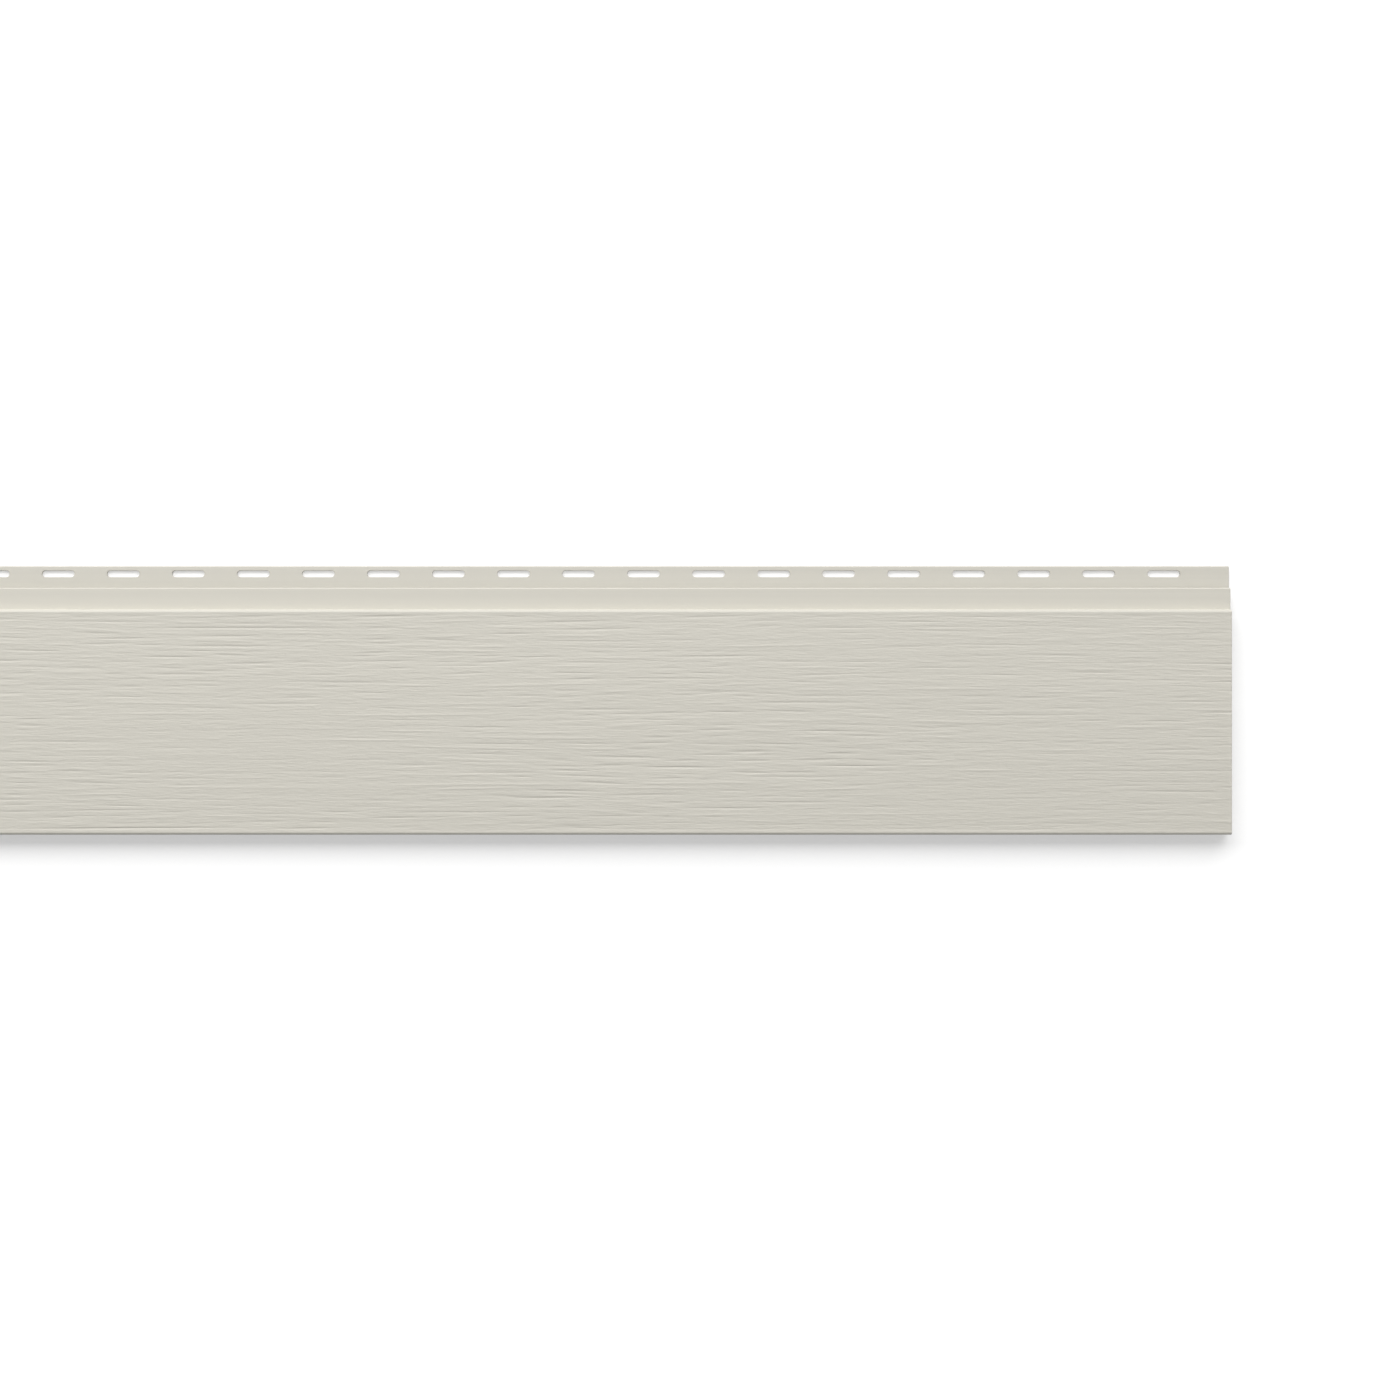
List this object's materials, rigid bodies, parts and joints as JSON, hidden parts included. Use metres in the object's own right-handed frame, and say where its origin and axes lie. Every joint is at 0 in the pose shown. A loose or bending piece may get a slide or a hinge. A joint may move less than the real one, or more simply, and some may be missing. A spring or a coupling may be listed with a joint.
{
  "type": "pvc cladding board",
  "caption": "Long flat cladding board with a wood-grain face, an interlocking tongue and groove along its edges and a slotted hem for hidden nails.",
  "frame": {"origin": "on the back plane, under the middle of the board's length and overall width", "axes": "+X along the board, +Y up the wall towards the nail hem, +Z out of the wall through the face"},
  "size_m": [2.95, 0.206, 0.018],
  "materials": {
    "board_pvc": "warm pale grey foamed PVC, satin, embossed with fine wood grain along the face"
  },
  "bodies": {
    "root": {"cladding_board": "board_pvc"}
  },
  "joints": []
}
